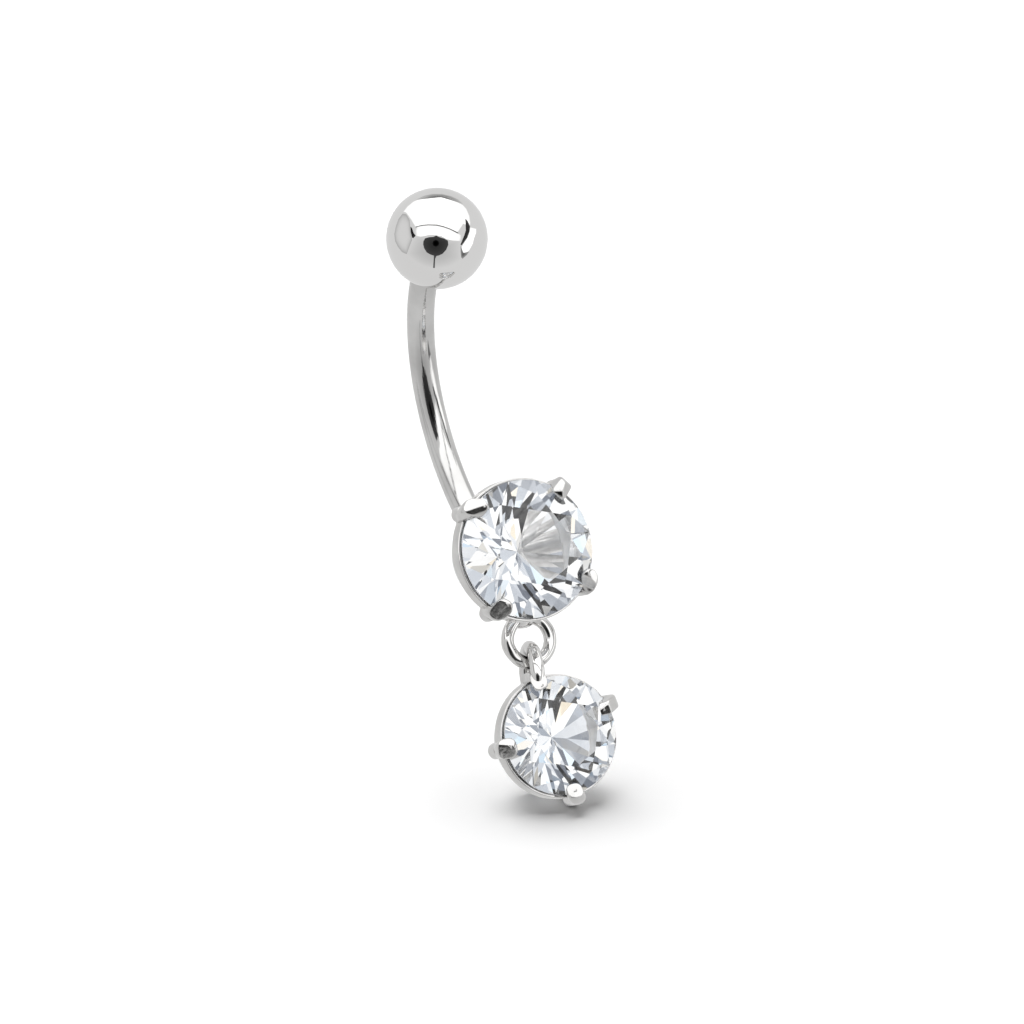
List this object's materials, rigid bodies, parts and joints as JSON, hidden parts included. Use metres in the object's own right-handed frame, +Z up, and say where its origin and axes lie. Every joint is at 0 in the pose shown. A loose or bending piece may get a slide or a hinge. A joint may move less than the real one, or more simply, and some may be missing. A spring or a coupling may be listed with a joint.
{
  "type": "navel ring",
  "caption": "Curved barbell navel ring with a screw-on top ball, a large claw-set round stone and a smaller claw-set round stone hanging from it on interlocked rings.",
  "frame": {"origin": "middle of the curved bar's wire at the rear of its curve, where it passes through the skin", "axes": "+Z up towards the ball, -Y towards the side that the stones face, +X to the right seen from the front"},
  "size_m": [0.0082, 0.0117, 0.0365],
  "materials": {
    "ball_metal": "mirror polished steel",
    "bar_metal": "polished steel",
    "drop_metal": "polished steel",
    "clear_stone": "polished facets",
    "drop_clear_stone": "polished facets"
  },
  "bodies": {
    "barbell": {"bar_and_setting": "bar_metal", "main_stone": "clear_stone"},
    "ball": {"top_ball": "ball_metal"},
    "drop": {"drop_setting": "drop_metal", "drop_stone": "drop_clear_stone"}
  },
  "joints": [
    {"name": "ball_unscrew", "type": "slide", "parent": "barbell", "child": "ball", "axis": [0, -0.887, 0.4617], "range_m": [0, 0.0045]},
    {"name": "drop_swing", "type": "hinge", "parent": "barbell", "child": "drop", "pos_m": [0, -0.00501, -0.01455], "axis": [-1, 0, 0], "range_deg": [-80, 80]}
  ]
}
